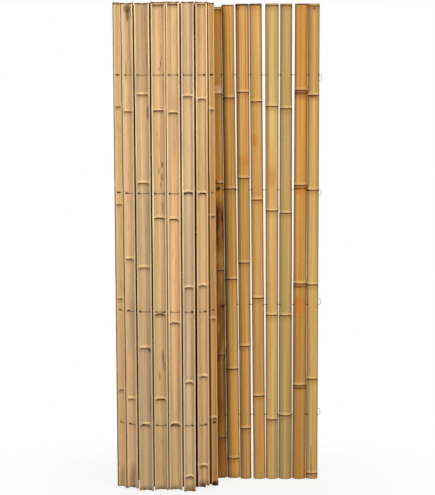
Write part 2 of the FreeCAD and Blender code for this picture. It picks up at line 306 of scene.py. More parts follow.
class Graph:
    """Adds nodes to a tree and joins them as it does."""

    def __init__(self, tree):
        self.tree = tree

    def put(self, socket, value):
        """Joins a socket to an output, or sets its value. A colour is opaque."""
        if isinstance(value, bpy.types.NodeSocket):
            self.tree.links.new(value, socket)
        elif socket.type == "RGBA" and len(value) == 3:
            socket.default_value = (*value, 1)
        else:
            socket.default_value = value

    def fill(self, node, inputs):
        """Puts a value or an output into each of a node's named inputs."""
        for key, value in inputs.items():
            self.put(node.inputs[key], value)

    def add(self, kind, inputs=None, **settings):
        """Adds a node with its settings and inputs."""
        node = self.tree.nodes.new(kind)
        for name, value in settings.items():
            setattr(node, name, value)
        self.fill(node, inputs or {})
        return node

    def first(self, kind, inputs=None, **settings):
        """Adds a node and gives its first output."""
        return self.add(kind, inputs, **settings).outputs[0]

    def math(self, operation, *values):
        return self.first("ShaderNodeMath", dict(enumerate(values)), operation=operation)

    def plus(self, first, second):
        return self.math("ADD", first, second)

    def minus(self, first, second):
        return self.math("SUBTRACT", first, second)

    def times(self, first, second):
        return self.math("MULTIPLY", first, second)

    def times_plus(self, first, second, third):
        return self.math("MULTIPLY_ADD", first, second, third)

    def combine(self, x, y, z):
        return self.first("ShaderNodeCombineXYZ", {0: x, 1: y, 2: z})

    def parts(self, vector):
        return self.add("ShaderNodeSeparateXYZ", {0: vector}).outputs

    def ramp(self, value, low, high, start=0.0, end=1.0):
        """Eases from start to end as the value goes from low to high."""
        return self.first(
            "ShaderNodeMapRange",
            {"Value": value, "From Min": low, "From Max": high, "To Min": start, "To Max": end},
            interpolation_type="SMOOTHSTEP",
        )

    def noise(self, vector, seed, scale=1.0, detail=2.0, roughness=0.5):
        return self.first(
            "ShaderNodeTexNoise",
            {"Vector": vector, "W": seed, "Scale": scale, "Detail": detail, "Roughness": roughness},
            noise_dimensions="4D",
        )

    def mix(self, share, first, second):
        inputs = {0: share, 6: first, 7: second}
        return self.add("ShaderNodeMix", inputs, data_type="RGBA").outputs[2]

    def layered(self, colour, layers, weight=None):
        """Lays colours over a colour: each as its value goes from low to high,
        up to its share, and all of them by the weight."""
        for value, low, high, share, over in layers:
            amount = self.ramp(value, low, high, 0, share)
            if weight is not None:
                amount = self.times(amount, weight)
            colour = self.mix(amount, colour, over)
        return colour


# The tree of a split cane

# Turn between a split face and the first column of faces beside it
CORNER_TURN = 0.025
# Sides and length of the drill, and how close points are that become one
BORE_SIDES = 14
BORE_LENGTH = 120 * MM
WELD = 0.01 * MM
# Edges bent more than this stay sharp, in radians
SHARP_BEND = 0.6
# A face below this height that looks down is a sawn foot
FOOT_REACH = 2 * MM


def sized_tree(name, inputs):
    """A new tree with the named inputs of each kind of socket."""
    tree = bpy.data.node_groups.new(name, "GeometryNodeTree")
    tree.is_modifier = True
    tree.interface.new_socket("Geometry", in_out="INPUT", socket_type="NodeSocketGeometry")
    for kind, labels in inputs.items():
        for label in labels:
            tree.interface.new_socket(label, in_out="INPUT", socket_type=kind)
    tree.interface.new_socket("Geometry", in_out="OUTPUT", socket_type="NodeSocketGeometry")
    return tree


def row_value(graph, name):
    return graph.first("GeometryNodeInputNamedAttribute", {"Name": name}, data_type="FLOAT")


def stored(graph, geometry, name, value):
    return graph.first(
        "GeometryNodeStoreNamedAttribute",
        {"Geometry": geometry, "Name": name, "Value": value},
        data_type="FLOAT", domain="POINT",
    )


def painted(graph, geometry, material, selection=True):
    """Gives the chosen faces of a geometry a material."""
    return graph.first("GeometryNodeSetMaterial", {
        "Geometry": geometry, "Selection": selection, "Material": material,
    })


def wall_section(graph, columns, edge_round):
    """A closed ring of points that says, for each, its turn round the cane and
    its depth through the wall: out along the skin, in over one split face, back
    along the hollow and out over the other."""
    twice = graph.times(columns, 2)
    ring = graph.first(
        "GeometryNodeCurvePrimitiveCircle", {"Resolution": graph.plus(twice, 8)}, mode="RADIUS"
    )
    place = graph.first("GeometryNodeInputIndex")
    near = graph.math("GREATER_THAN", place, columns)
    back = graph.math("GREATER_THAN", place, graph.plus(columns, 3))
    far = graph.math("GREATER_THAN", place, graph.plus(twice, 4))
    stretch = graph.plus(near, graph.plus(back, far))
    quarter = math.pi / 2
    reach = quarter - CORNER_TURN
    span = graph.math("DIVIDE", 2 * reach, columns)
    along_skin = graph.times_plus(place, span, -reach)
    past_skin = graph.minus(place, columns)
    along_hollow = graph.minus(reach, graph.times(graph.minus(past_skin, 4), span))
    middle = graph.minus(0.5, edge_round)
    inward = graph.times_plus(graph.minus(past_skin, 1), middle, edge_round)
    outward = graph.times_plus(graph.minus(graph.plus(twice, 7), place), middle, edge_round)
    turn = index_switch(graph, stretch, (along_skin, quarter, along_hollow, -quarter))
    depth = index_switch(graph, stretch, (0.0, inward, 1.0, outward))
    return stored(graph, stored(graph, ring, "turn", turn), "depth", depth)


def index_switch(graph, index, values):
    node = graph.add("GeometryNodeIndexSwitch", data_type="FLOAT")
    while len(node.index_switch_items) < len(values):
        node.index_switch_items.new()
    for socket, value in zip(node.inputs, (index, *values)):
        graph.put(socket, value)
    return node.outputs[0]


def wall_shape(graph, given):
    """Where the section's points go: the skin with its nodes, the hollow with
    what is left of the diaphragms, the worn ends and the wavering split faces."""
    seed = given["Seed"]
    turn, depth, height, outer, pinch = (
        row_value(graph, name) for name in ("turn", "depth", "height", "skin", "pinch")
    )
    sine = graph.math("SINE", turn)
    cosine = graph.math("COSINE", turn)

    def torn(scale, shift, detail):
        vector = graph.combine(graph.times(turn, scale), 0, shift)
        return graph.noise(vector, seed, detail=detail, roughness=0.7)

    broken = graph.noise(graph.combine(graph.times(turn, 1.7), graph.times(height, 14), 0), seed)
    broken = graph.ramp(broken, 0.25, 0.75, 0.45, 1.25)
    inner = graph.minus(
        row_value(graph, "hollow"), graph.times(row_value(graph, "ledge"), broken)
    )
    through = graph.times_plus(graph.minus(0.5, depth), pinch, depth)
    radius = graph.times_plus(graph.minus(inner, outer), through, outer)
    dome = graph.times(graph.times(row_value(graph, "dome"), cosine), depth)
    chips = graph.ramp(torn(3.1, 7, 4.0), 0.4, 0.62, 0, 0.4)
    chips = graph.times_plus(graph.minus(1, cosine), 0.6, chips)
    worn = graph.times(row_value(graph, "worn"), chips)
    splinters = graph.ramp(torn(5, 11, 3.0), 0.46, 0.58)
    worn = graph.times_plus(row_value(graph, "frayed"), splinters, worn)
    waver = graph.noise(graph.combine(sine, graph.times(height, 18), 3), seed, detail=3.0)
    waver = graph.times(graph.ramp(waver, 0.25, 0.75, 0, 2), given["Split waver"])
    waver = graph.times(waver, graph.math("POWER", graph.math("ABSOLUTE", sine), 8))
    return graph.combine(
        graph.times(radius, sine),
        graph.times_plus(radius, cosine, waver),
        graph.plus(graph.plus(height, dome), worn),
    )


def drilled(graph, wall, points, given):
    """Drills both flanks of a wall at every point."""
    bore = graph.first("GeometryNodeMeshCylinder", {
        "Vertices": BORE_SIDES, "Radius": given["Hole radius"], "Depth": BORE_LENGTH,
    })
    bores = graph.first("GeometryNodeInstanceOnPoints", {
        "Points": points, "Instance": painted(graph, bore, given["Bore"]),
        "Rotation": (0, math.pi / 2, 0),
    })
    bores = graph.first("GeometryNodeTranslateInstances", {
        "Instances": bores, "Translation": graph.combine(0, given["Hole inset"], 0),
    })
    bores = graph.first("GeometryNodeRealizeInstances", {"Geometry": bores})
    return graph.first(
        "GeometryNodeMeshBoolean", {"Mesh 1": wall, "Mesh 2": bores},
        operation="DIFFERENCE", solver="MANIFOLD",
    )


def split_cane_tree():
    """Sweeps the wall's section up the rows of a spine and drills the holes."""
    tree = sized_tree("Split cane", {
        "NodeSocketInt": ("Columns",),
        "NodeSocketFloat": ("Edge round", "Hole radius", "Hole inset", "Split waver", "Seed"),
        "NodeSocketMaterial": ("Skin", "Hollow", "Split face", "End grain", "Bore"),
    })
    graph = Graph(tree)
    given = graph.add("NodeGroupInput").outputs
    rows = graph.add(
        "GeometryNodeSeparateGeometry",
        {"Geometry": given["Geometry"], "Selection": row_value(graph, "bored")}, domain="POINT",
    ).outputs
    wall = graph.first("GeometryNodeCurveToMesh", {
        "Curve": graph.first("GeometryNodeMeshToCurve", {"Mesh": rows[1]}),
        "Profile Curve": wall_section(graph, given["Columns"], given["Edge round"]),
    })
    wall = graph.first(
        "GeometryNodeSetPosition", {"Geometry": wall, "Position": wall_shape(graph, given)}
    )
    wall = graph.first("GeometryNodeMergeByDistance", {"Geometry": wall, "Distance": WELD})
    wall = painted(graph, wall, given["Skin"])
    for name, value, least in (
        ("Split face", "depth", 0.01), ("Hollow", "depth", 0.99), ("End grain", "pinch", 0.02),
    ):
        chosen = graph.math("GREATER_THAN", row_value(graph, value), least)
        wall = painted(graph, wall, given[name], chosen)
    wall = drilled(graph, wall, rows[0], given)
    bend = graph.first("GeometryNodeInputMeshEdgeAngle")
    wall = graph.first("GeometryNodeSetShadeSmooth", {
        "Geometry": wall, "Selection": graph.math("GREATER_THAN", bend, SHARP_BEND),
        "Shade Smooth": False,
    }, domain="EDGE")
    wall = graph.first("GeometryNodeRealizeInstances", {"Geometry": wall})
    facing = graph.parts(graph.first("GeometryNodeInputNormal"))[2]
    height = graph.parts(graph.first("GeometryNodeInputPosition"))[2]
    sawn = graph.times(
        graph.math("LESS_THAN", facing, -0.8), graph.math("LESS_THAN", height, FOOT_REACH)
    )
    wall = painted(graph, wall, given["End grain"], sawn)
    graph.add("NodeGroupOutput", {0: wall})
    return tree


def set_inputs(modifier, values):
    """Sets a tree's inputs by their sockets' identifiers."""
    for item in modifier.node_group.interface.items_tree:
        if item.in_out == "INPUT" and item.name in values:
            modifier[item.identifier] = values[item.name]


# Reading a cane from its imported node

Cane = namedtuple("Cane", "number place length nodes skin hollow ledge bores")

# How the corners are told apart: the slack at a cut end and about a ledge, half
# of the wall, the least rise of a node, the least height between two rings and
# the slack about them, and how far aside a corner at the apex may be
END_SLACK = 3 * MM
LEDGE_SLACK = 2.5 * MM
HALF_WALL = 2.7 * MM
LEAST_RISE = 0.5 * MM
RING_GAP = 0.05 * MM
RING_SLACK = 0.1 * MM
APEX_SPREAD = 0.2


def corners(name):
    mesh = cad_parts[name].data
    found = np.empty(len(mesh.vertices) * 3)
    mesh.vertices.foreach_get("co", found)
    return found.reshape(-1, 3)


def unit(vector):
    return vector / np.linalg.norm(vector)


def cut_end(points):
    """Middle of a cane's cut end and the line across it, from its outer corners."""
    spread = np.linalg.norm(points[:, None] - points[None], axis=2)
    first, second = np.unravel_index(spread.argmax(), spread.shape)
    return (points[first] + points[second]) / 2, points[second] - points[first]


def levels(heights, radii):
    """The rings of a cane's wall, lowest first: their heights and radii."""
    order = np.argsort(heights)
    heights, radii = heights[order], radii[order]
    starts = np.flatnonzero(np.diff(heights, prepend=-1) > RING_GAP)
    return heights[starts], radii[starts]


def read_cane(number):
    """Finds a cane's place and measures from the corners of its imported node."""
    points = corners(f"slat_{number:02d}")
    height = points[:, 2]
    foot = points[height < height.min() + END_SLACK]
    head = points[height > height.max() - END_SLACK]
    base, across = cut_end(foot)
    top, _ = cut_end(head)
    lean = unit(top - base)
    outward = unit(np.cross(across, lean))
    if outward @ (foot.mean(axis=0) - base) < 0:
        outward = -outward
    across = np.cross(outward, lean)
    axes = np.array((across, outward, lean))
    local = (points - base) @ axes.T
    radii = np.hypot(local[:, 0], local[:, 1])
    apex = np.abs(local[:, 0]) < APEX_SPREAD * local[:, 1]
    length = np.linalg.norm(top - base)
    widest = [np.linalg.norm(cut_end(end)[1]) / 2 for end in (foot, head)]
    skin_side = radii > np.interp(local[:, 2], (0, length), widest) - HALF_WALL
    heights, skin = levels(local[apex & skin_side, 2], radii[apex & skin_side])
    peaks = [
        i for i in range(1, len(skin) - 1)
        if skin[i] - (skin[i - 1] + skin[i + 1]) / 2 > LEAST_RISE
    ]
    nodes = heights[peaks]
    inner = local[~skin_side, 2], radii[~skin_side]
    ends = [0, *nodes, length]
    hollow = [
        inner[1][(inner[0] > low - RING_SLACK) & (inner[0] < high + RING_SLACK)].max()
        for low, high in zip(ends, ends[1:])
    ]
    tips = [inner[1][np.abs(inner[0] - node) < LEDGE_SLACK].min() for node in nodes]
    ledge = [(low + high) / 2 - tip for low, high, tip in zip(hollow, hollow[1:], tips)]
    bores = [
        (np.median(corners(wire)[:, 2]) + sizes().hole_lift - base[2]) / lean[2]
        for wire in WIRES
    ]
    place = Matrix([(*axes[:, row], base[row]) for row in range(3)] + [(0, 0, 0, 1)])
    skin = skin[[0, *(p + 1 for p in peaks)]] + SWELL.get(number, 0) * MM
    return Cane(number, place, length, nodes, skin, hollow, ledge, bores)


def sizes():
    return bpy.context.scene.fence_cane


def look_of(number):
    return LOOKS.get(number, PLAIN_LOOKS[number % len(PLAIN_LOOKS)])


def marks_of(cane):
    """A cane's marks, each with the side that it is on."""
    return [
        (side, Mark(*row)) for (number, side), rows in MARKS.items() if number == cane.number
        for row in rows
    ]


# Building a cane

# Marks shorter than this, in millimetres, get rows of their own, and how many
SHORT_MARK = 100
MARK_ROWS = 13
# How far even rows keep from a node and all rows from an end, and the least
# height between two rows
NODE_CLEARANCE = 31 * MM
END_CLEARANCE = 1.5 * MM
ROW_GAP = 0.12 * MM
# Height of the rounded rim at a sawn end, and its share of the wall
RIM = 0.5 * MM
RIM_PINCH = 0.09
# How far from a node the wall's radius steps, and how much the last scar swells
STEP_REACH = 4 * MM
CROWN_RISE = 0.8 * MM
# How near an end the domes of the diaphragms grow less
DOME_CLEARANCE = 15 * MM
# How far up a cane its foot is worn, how far from an end splinters run, and how
# strong they are at the head, as a share of the foot's
WORN_REACH = 24 * MM
SPLINTER_REACH = 16 * MM
HEAD_SPLINTERS = 0.9
# Distance of the spine's points, which keep the rows' true heights as a value
SPINE_STEP = 10 * MM
# A cane with fewer faces than this came out wrong
LEAST_FACES = 1000


def placed(name, data):
    """A new object in the scene."""
    item = bpy.data.objects.new(name, data)
    bpy.context.scene.collection.objects.link(item)
    return item


def row_heights(cane):
    """Heights of the rows of faces: even between the nodes, close at each."""
    rows = set()
    reached = [0, *cane.nodes, cane.length]
    for low, high in zip(reached, reached[1:]):
        rows.update(np.linspace(low, high, max(2, int((high - low) / sizes().row_step))))
    for _, mark in marks_of(cane):
        if mark.length < SHORT_MARK:
            middle, reach = mark.height * MM, mark.length * MM
            rows.update(np.linspace(middle - reach, middle + reach, MARK_ROWS))
    rows = [r for r in rows if all(abs(r - node) > NODE_CLEARANCE for node in cane.nodes)]
    rows += [node + offset * MM for node in cane.nodes for offset in NODE_ROWS]
    rows += [bore + offset * MM for bore in cane.bores for offset in BORE_ROWS]
    rows += [cane.length - offset * MM for offset in HEAD_ROWS]
    rows = np.sort(rows)
    rows = rows[(rows > END_CLEARANCE) & (rows < cane.length - END_CLEARANCE)]
    return rows[np.diff(rows, prepend=-1) > ROW_GAP]


def summed(rows, cane, profile, scales):
    """A profile laid over every node of a cane, each scaled by its own share."""
    offsets, values = np.array(profile).T
    total = np.zeros(rows.shape)
    for node, scale in zip(cane.nodes, scales):
        total += scale * np.interp((rows - node) / MM, offsets, values, 0, 0)
    return total


def stepped(rows, cane, radii):
    """The wall's radius, which steps at each node to that of the next internode."""
    total = np.full(rows.shape, radii[0])
    for node, low, high in zip(cane.nodes, radii, radii[1:]):
        share = np.clip((rows - node + STEP_REACH) / (2 * STEP_REACH), 0, 1)
        total += (high - low) * share * share * (3 - 2 * share)
    return total


def crown_height(cane, look):
    """Height of the last scar, just below the head."""
    return cane.length - look.crown * MM


def crown_rise(rows, cane, look):
    """The swelling of a cane that was sawn just above a node."""
    if not look.crown:
        return 0
    offsets, values = np.array(NODE_SKIN).T
    rise = np.interp((rows - crown_height(cane, look)) / MM, offsets, values, 0, 0)
    return CROWN_RISE * rise


def spine_mesh(cane, look):
    """Rows of a cane as the points of a line, with what each row's section
    needs, and a loose point for each hole."""
    top = cane.length
    rows = np.concatenate(((0, 0, RIM), row_heights(cane), (top - RIM, top, top)))
    pinch = np.zeros(rows.shape)
    pinch[[0, 1, -2, -1]] = (1, RIM_PINCH, RIM_PINCH, 1)
    rng = np.random.default_rng(cane.number)
    bumps = rng.uniform(0.7, 0.95, len(cane.nodes))
    domes = look.dome * MM * rng.uniform(0.6, 1.1, len(cane.nodes))
    away_from_ends = np.clip(np.minimum(rows, top - rows) / DOME_CLEARANCE, 0, 1)
    foot_splinters = np.clip(1 - rows / SPLINTER_REACH, 0, 1)
    head_splinters = HEAD_SPLINTERS * np.clip(1 - (top - rows) / SPLINTER_REACH, 0, 1)
    values = {
        "height": rows,
        "skin": stepped(rows, cane, cane.skin) + summed(rows, cane, NODE_SKIN, bumps * MM)
        + crown_rise(rows, cane, look),
        "hollow": stepped(rows, cane, cane.hollow),
        "ledge": summed(rows, cane, NODE_LEDGE, cane.ledge),
        "dome": summed(rows, cane, NODE_DOME, domes) * away_from_ends,
        "pinch": pinch,
        "worn": look.worn * MM * np.clip(1 - rows / WORN_REACH, 0, 1),
        "frayed": look.worn * MM * (foot_splinters - head_splinters),
    }
    count = len(rows)
    mesh = bpy.data.meshes.new("spine")
    places = [(0, 0, i * SPINE_STEP) for i in range(count)] + [(0, 0, z) for z in cane.bores]
    mesh.from_pydata(places, [(i, i + 1) for i in range(count - 1)], [])
    blank = np.zeros(len(cane.bores))
    layers = {name: np.concatenate((numbers, blank)) for name, numbers in values.items()}
    layers["bored"] = np.concatenate((np.zeros(count), blank + 1))
    keep_floats(mesh, layers)
    return mesh


def cane_materials():
    """The materials of a cane, each made once."""
    made = {
        "Skin": skin_material, "Hollow": hollow_material, "Split face": split_face_material,
        "End grain": end_grain_material, "Bore": bore_material,
    }
    return {name: bpy.data.materials.get(f"cane {name}") or make(f"cane {name}")
            for name, make in made.items()}


def make_cane(number):
    """One split cane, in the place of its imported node."""
    cane = read_cane(number)
    look = look_of(number)
    spine = placed("spine", spine_mesh(cane, look))
    tree = bpy.data.node_groups.get("Split cane") or split_cane_tree()
    modifier = spine.modifiers.new("Split cane", "NODES")
    modifier.node_group = tree
    set_inputs(modifier, {
        "Columns": sizes().columns, "Edge round": sizes().edge_round,
        "Hole radius": sizes().hole_radius, "Hole inset": sizes().hole_inset,
        "Split waver": sizes().split_waver, "Seed": float(number), **cane_materials(),
    })
    graph = bpy.context.evaluated_depsgraph_get()
    mesh = bpy.data.meshes.new_from_object(spine.evaluated_get(graph))
    bpy.data.objects.remove(spine)
    if len(mesh.polygons) < LEAST_FACES:
        raise RuntimeError(f"cane {number} came out with {len(mesh.polygons)} faces")
    paint(mesh, cane, look)
    mesh.transform(cane.place)
    piece = placed(f"cane_{number:02d}", mesh)
    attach(piece, "root")
    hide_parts(f"slat_{number:02d}")


def make_canes(numbers):
    for number in numbers:
        make_cane(number)
    return {"FINISHED"}


# Painting a cane

# Seeds of the tones and of the painted shade round the holes, and the step of the grain between
# canes
TONE_SEED = 700
HOLE_SHADE_SEED = 400
GRAIN_STEP = 1.37
# The radius on which patterns are laid round a cane
PATTERN_RADIUS = 22 * MM
# The bend of a diaphragm at which the painted shadow under it is full, in millimetres
FULL_SHADOW_DOME = 5
# How far below and above a node's line its two sides begin
NODE_LINE = 1.5 * MM
# Range of the internodes' tones and of their hues, and how much painted shade darkens the foot
TONES = (0.9, 1.07)
HUES = (0.985, 1.015)
GROUND_SHADE = 0.16
# Height and width of the painted shade round a hole, and how strong it may be
HOLE_SHADE_HEIGHT = 2.6 * MM
HOLE_SHADE_WIDTH = 4.5 * MM
HOLE_SHADE_STRENGTHS = (0.35, 0.8, 1.0)
# How far from the head and from the foot a cane is dark, and how worn a foot is
# at its darkest, in millimetres
HEAD_STAIN = 7 * MM
FOOT_STAIN = 11 * MM
FULL_WEAR = 4


def paint(mesh, cane, look):
    """Gives each point what the materials read: where it is on the cane, how
    near a node and an end, the cane's own colours with their painted shade, the
    painted shade round its holes and under its diaphragms, and its marks."""
    place = np.empty(len(mesh.vertices) * 3)
    mesh.vertices.foreach_get("co", place)
    x, y, z = place.reshape(-1, 3).T
    turn = np.arctan2(x, y)
    radius = np.hypot(x, y)
    skin = radius > (stepped(z, cane, cane.skin) + stepped(z, cane, cane.hollow)) / 2
    away = np.full(z.shape, NODE_REACH)
    side = np.zeros(z.shape)
    scars = [*cane.nodes, crown_height(cane, look)] if look.crown else cane.nodes
    for node in scars:
        gap = z - node
        near = np.abs(gap) < away
        away = np.where(near, np.abs(gap), away)
        side = np.where(near, np.clip(gap / NODE_LINE, -1, 1), side)
    keep_floats(mesh, {
        "around": turn * PATTERN_RADIUS,
        "along": z,
        "node_gap": away,
        "node_side": side,
        "end_gap": np.minimum(np.minimum(z, cane.length - z), NODE_REACH),
        "grain": np.full(z.shape, cane.number * GRAIN_STEP),
        "streak": np.full(z.shape, look.streak),
        "sheen": np.full(z.shape, 1 if cane.number in SHINING else 0),
        "ledge_shadow_depth": np.full(z.shape, min(1, max(0, look.dome) / FULL_SHADOW_DOME)),
        "tip": weathered_ends(cane, look, z),
        "hole_shade": bore_shade(cane, turn, y, z, skin),
    })
    keep_colours(mesh, "skin_tint", toned(look.skin, "skin", cane, z))
    keep_colours(mesh, "hollow_tint", toned(look.hollow, "hollow", cane, z))
    keep_colours(mesh, "mark", marked(cane, turn, z, skin))


def marked(cane, turn, z, skin):
    """The colour of a cane's marks at each point, and how strong it is."""
    total = np.zeros((len(z), 4))
    for side, mark in marks_of(cane):
        tall = np.abs(z - mark.height * MM) / (mark.length * MM)
        wide = np.abs(turn / (math.pi / 2) - mark.around) / mark.width
        share = mark.strength * np.clip(1.3 - tall ** 2 - wide ** 2, 0, 1)
        share = np.where(skin == (side == "skin"), share, 0)[:, None]
        colour, strength = total[:, :3], total[:, 3:]
        stronger = strength + share * (1 - strength)
        mixed = colour * strength * (1 - share) + np.array(mark.colour) * share
        total = np.concatenate((mixed / np.maximum(stronger, 1e-6), stronger), axis=1)
    return total


def toned(colour, side, cane, z):
    """A cane's colour at each point: no two internodes are alike, painted shade
    darkens it towards the ground, and painted shade darkens the roll's inside."""
    rng = np.random.default_rng(TONE_SEED + cane.number)
    count = len(cane.nodes) + 1
    tone = rng.uniform(*TONES, (count, 1)) * rng.uniform(*HUES, (count, 3))
    place = np.searchsorted(cane.nodes, z)
    # Painted shade: darker towards the foot
    ground = 1 - GROUND_SHADE * np.clip(1 - z / (0.9 * cane.length), 0, 1) ** 1.5
    shades = np.array(colour) * tone[place] * ground[:, None]
    # Painted shade on the sides that look into the roll
    if cane.number in INSIDE[side]:
        shades *= HALF_LIT.get(cane.number, SHADE) if side == "hollow" else SHADE
    return np.concatenate((shades, np.ones((len(z), 1))), axis=1)


def weathered_ends(cane, look, z):
    """How dark the cut ends are: the head by its look, the foot where it is worn."""
    head = look.tip * np.clip(1.2 - (cane.length - z) / HEAD_STAIN, 0, 1)
    foot = min(1, look.worn / FULL_WEAR) * np.clip(1 - z / FOOT_STAIN, 0, 1)
    return np.maximum(head, foot)


def bore_shade(cane, turn, y, z, skin):
    """How dark each point of the hollow is with painted shade round a hole, as dark as the hole's
    inside, so that the hole looks wider.
    """
    rng = np.random.default_rng(HOLE_SHADE_SEED + cane.number)
    total = np.zeros(z.shape)
    for bore in cane.bores:
        for hand in (-1, 1):
            strength = 0.97 * rng.choice(HOLE_SHADE_STRENGTHS)
            off = np.hypot((z - bore) / HOLE_SHADE_HEIGHT, (y - sizes().hole_inset) / HOLE_SHADE_WIDTH)
            share = strength * np.clip(2.5 - 1.4 * off, 0, 1)
            total = np.maximum(total, np.where(turn * hand > 0, share, 0))
    return np.where(skin, total * 0.9, total)


def keep_floats(mesh, layers):
    for name, values in layers.items():
        layer = mesh.attributes.new(name, "FLOAT", "POINT")
        layer.data.foreach_set("value", values.astype(np.float32))


def keep_colours(mesh, name, values):
    layer = mesh.attributes.new(name, "FLOAT_COLOR", "POINT")
    layer.data.foreach_set("color", values.astype(np.float32).ravel())


# Materials

def blank_material(name):
    """An empty material, its graph and its shader, joined to the output."""
    material = bpy.data.materials.new(name)
    material.use_nodes = True
    material.node_tree.nodes.clear()
    graph = Graph(material.node_tree)
    shader = graph.add("ShaderNodeBsdfPrincipled")
    graph.add("ShaderNodeOutputMaterial", {"Surface": shader.outputs[0]})
    return material, graph, shader


def read(graph, name, output="Fac"):
    return graph.add("ShaderNodeAttribute", attribute_name=name).outputs[output]


def own_place(graph):
    return graph.add("ShaderNodeTexCoord").outputs["Object"]


def fibres(graph, across, along, shift, detail=3.0):
    """Noise drawn out along the cane, different on every cane."""
    vector = graph.combine(
        graph.times(read(graph, "around"), across), graph.times(read(graph, "along"), along), shift
    )
    return graph.noise(vector, read(graph, "grain"), detail=detail)


def beside_node(graph, start, full, far, near):
    """Grows over one side of a node's line, and from far towards near it."""
    return graph.times(
        graph.ramp(read(graph, "node_side"), start, full),
        graph.ramp(read(graph, "node_gap"), far, near),
    )


def with_dark_ends_and_hole_shade(graph, colour, cloud):
    """Darkens a colour along the sawn ends, more where they are weathered, and
    with painted shade nearly to black round the holes."""
    end = graph.ramp(read(graph, "end_gap"), 0.005, 0.0005, 0, 0.45)
    tip = graph.times(read(graph, "tip"), graph.ramp(cloud, 0.25, 0.6, 0.5, 1.3))
    edge = graph.math("MINIMUM", graph.math("MAXIMUM", end, tip), 0.9)
    return graph.mix(read(graph, "hole_shade"), graph.mix(edge, colour, DARK), BLACK)


def with_marks(graph, colour, cloud):
    """Lays a cane's marks over its colour, broken up by the cloud."""
    share = graph.times(read(graph, "mark", "Alpha"), graph.ramp(cloud, 0.3, 0.55, 0.55, 1.1))
    return graph.mix(share, colour, read(graph, "mark", "Color"))


def relief(graph, height, strength, distance):
    return graph.first(
        "ShaderNodeBump", {"Height": height, "Strength": strength, "Distance": distance}
    )


def skin_material(name):
    """The waxy skin, with its fibres, node scars and blotches, and painted shade on its flanks."""
    colours = bpy.context.scene.fence_colours
    material, graph, shader = blank_material(name)
    fine = fibres(graph, 2400, 26, 0)
    broad = fibres(graph, 330, 3, 4)
    band = fibres(graph, 120, 0.9, 17, detail=1.5)
    cloud = fibres(graph, 60, 9, 9)
    wide = fibres(graph, 25, 2.4, 13, detail=1.0)
    speck = fibres(graph, 900, 500, 21, detail=1.0)
    turned = graph.math("ABSOLUTE", read(graph, "around"))
    colour = graph.layered(read(graph, "skin_tint", "Color"), (
        (band, 0.48, 0.72, 0.6, colours.fibre),
        (band, 0.5, 0.28, 0.45, colours.node_band),
        (broad, 0.5, 0.74, 0.55, colours.fibre),
        (broad, 0.48, 0.26, 0.4, colours.node_band),
    ), read(graph, "streak"))
    colour = graph.layered(colour, (
        (wide, 0.5, 0.75, 0.32, ORANGE),
        (wide, 0.5, 0.25, 0.25, GREENISH),
        (fine, 0.52, 0.8, 0.35, colours.fibre),
        # Painted shade: the skin darkens towards umber at the flanks, where they turn from the
        # light and meet the next cane
        (turned, 0.016, 0.030, 0.6, colours.fibre),
        (turned, 0.023, 0.032, 0.75, UMBER),
    ))
    above = beside_node(graph, 0.2, 1, 0.016, 0.006)
    below = beside_node(graph, -0.2, -1, 0.03, 0.004)
    colour = graph.mix(graph.times(above, 0.45), colour, colours.node_band)
    colour = graph.mix(graph.times(below, 0.28), colour, RED_BROWN)
    colour = with_marks(graph, colour, cloud)
    ragged = graph.times(graph.minus(broad, 0.5), 0.003)
    line = graph.ramp(graph.plus(read(graph, "node_gap"), ragged), 0.0038, 0.0013)
    colour = graph.mix(graph.times(line, 0.92), colour, colours.node_line)
    colour = graph.layered(colour, ((speck, 0.72, 0.82, 0.6, DARK),))
    gloss = graph.ramp(turned, 0.012, 0.026, 0.13, 0)
    graph.fill(shader, {
        "Base Color": with_dark_ends_and_hole_shade(graph, colour, cloud),
        "Roughness": graph.ramp(cloud, 0.3, 0.7, colours.gloss - 0.06, colours.gloss + 0.12),
        "Specular IOR Level": graph.times(gloss, read(graph, "sheen")),
        "Normal": relief(graph, graph.plus(fine, graph.times(broad, 0.6)), 0.25, 0.4 * MM),
    })
    return material


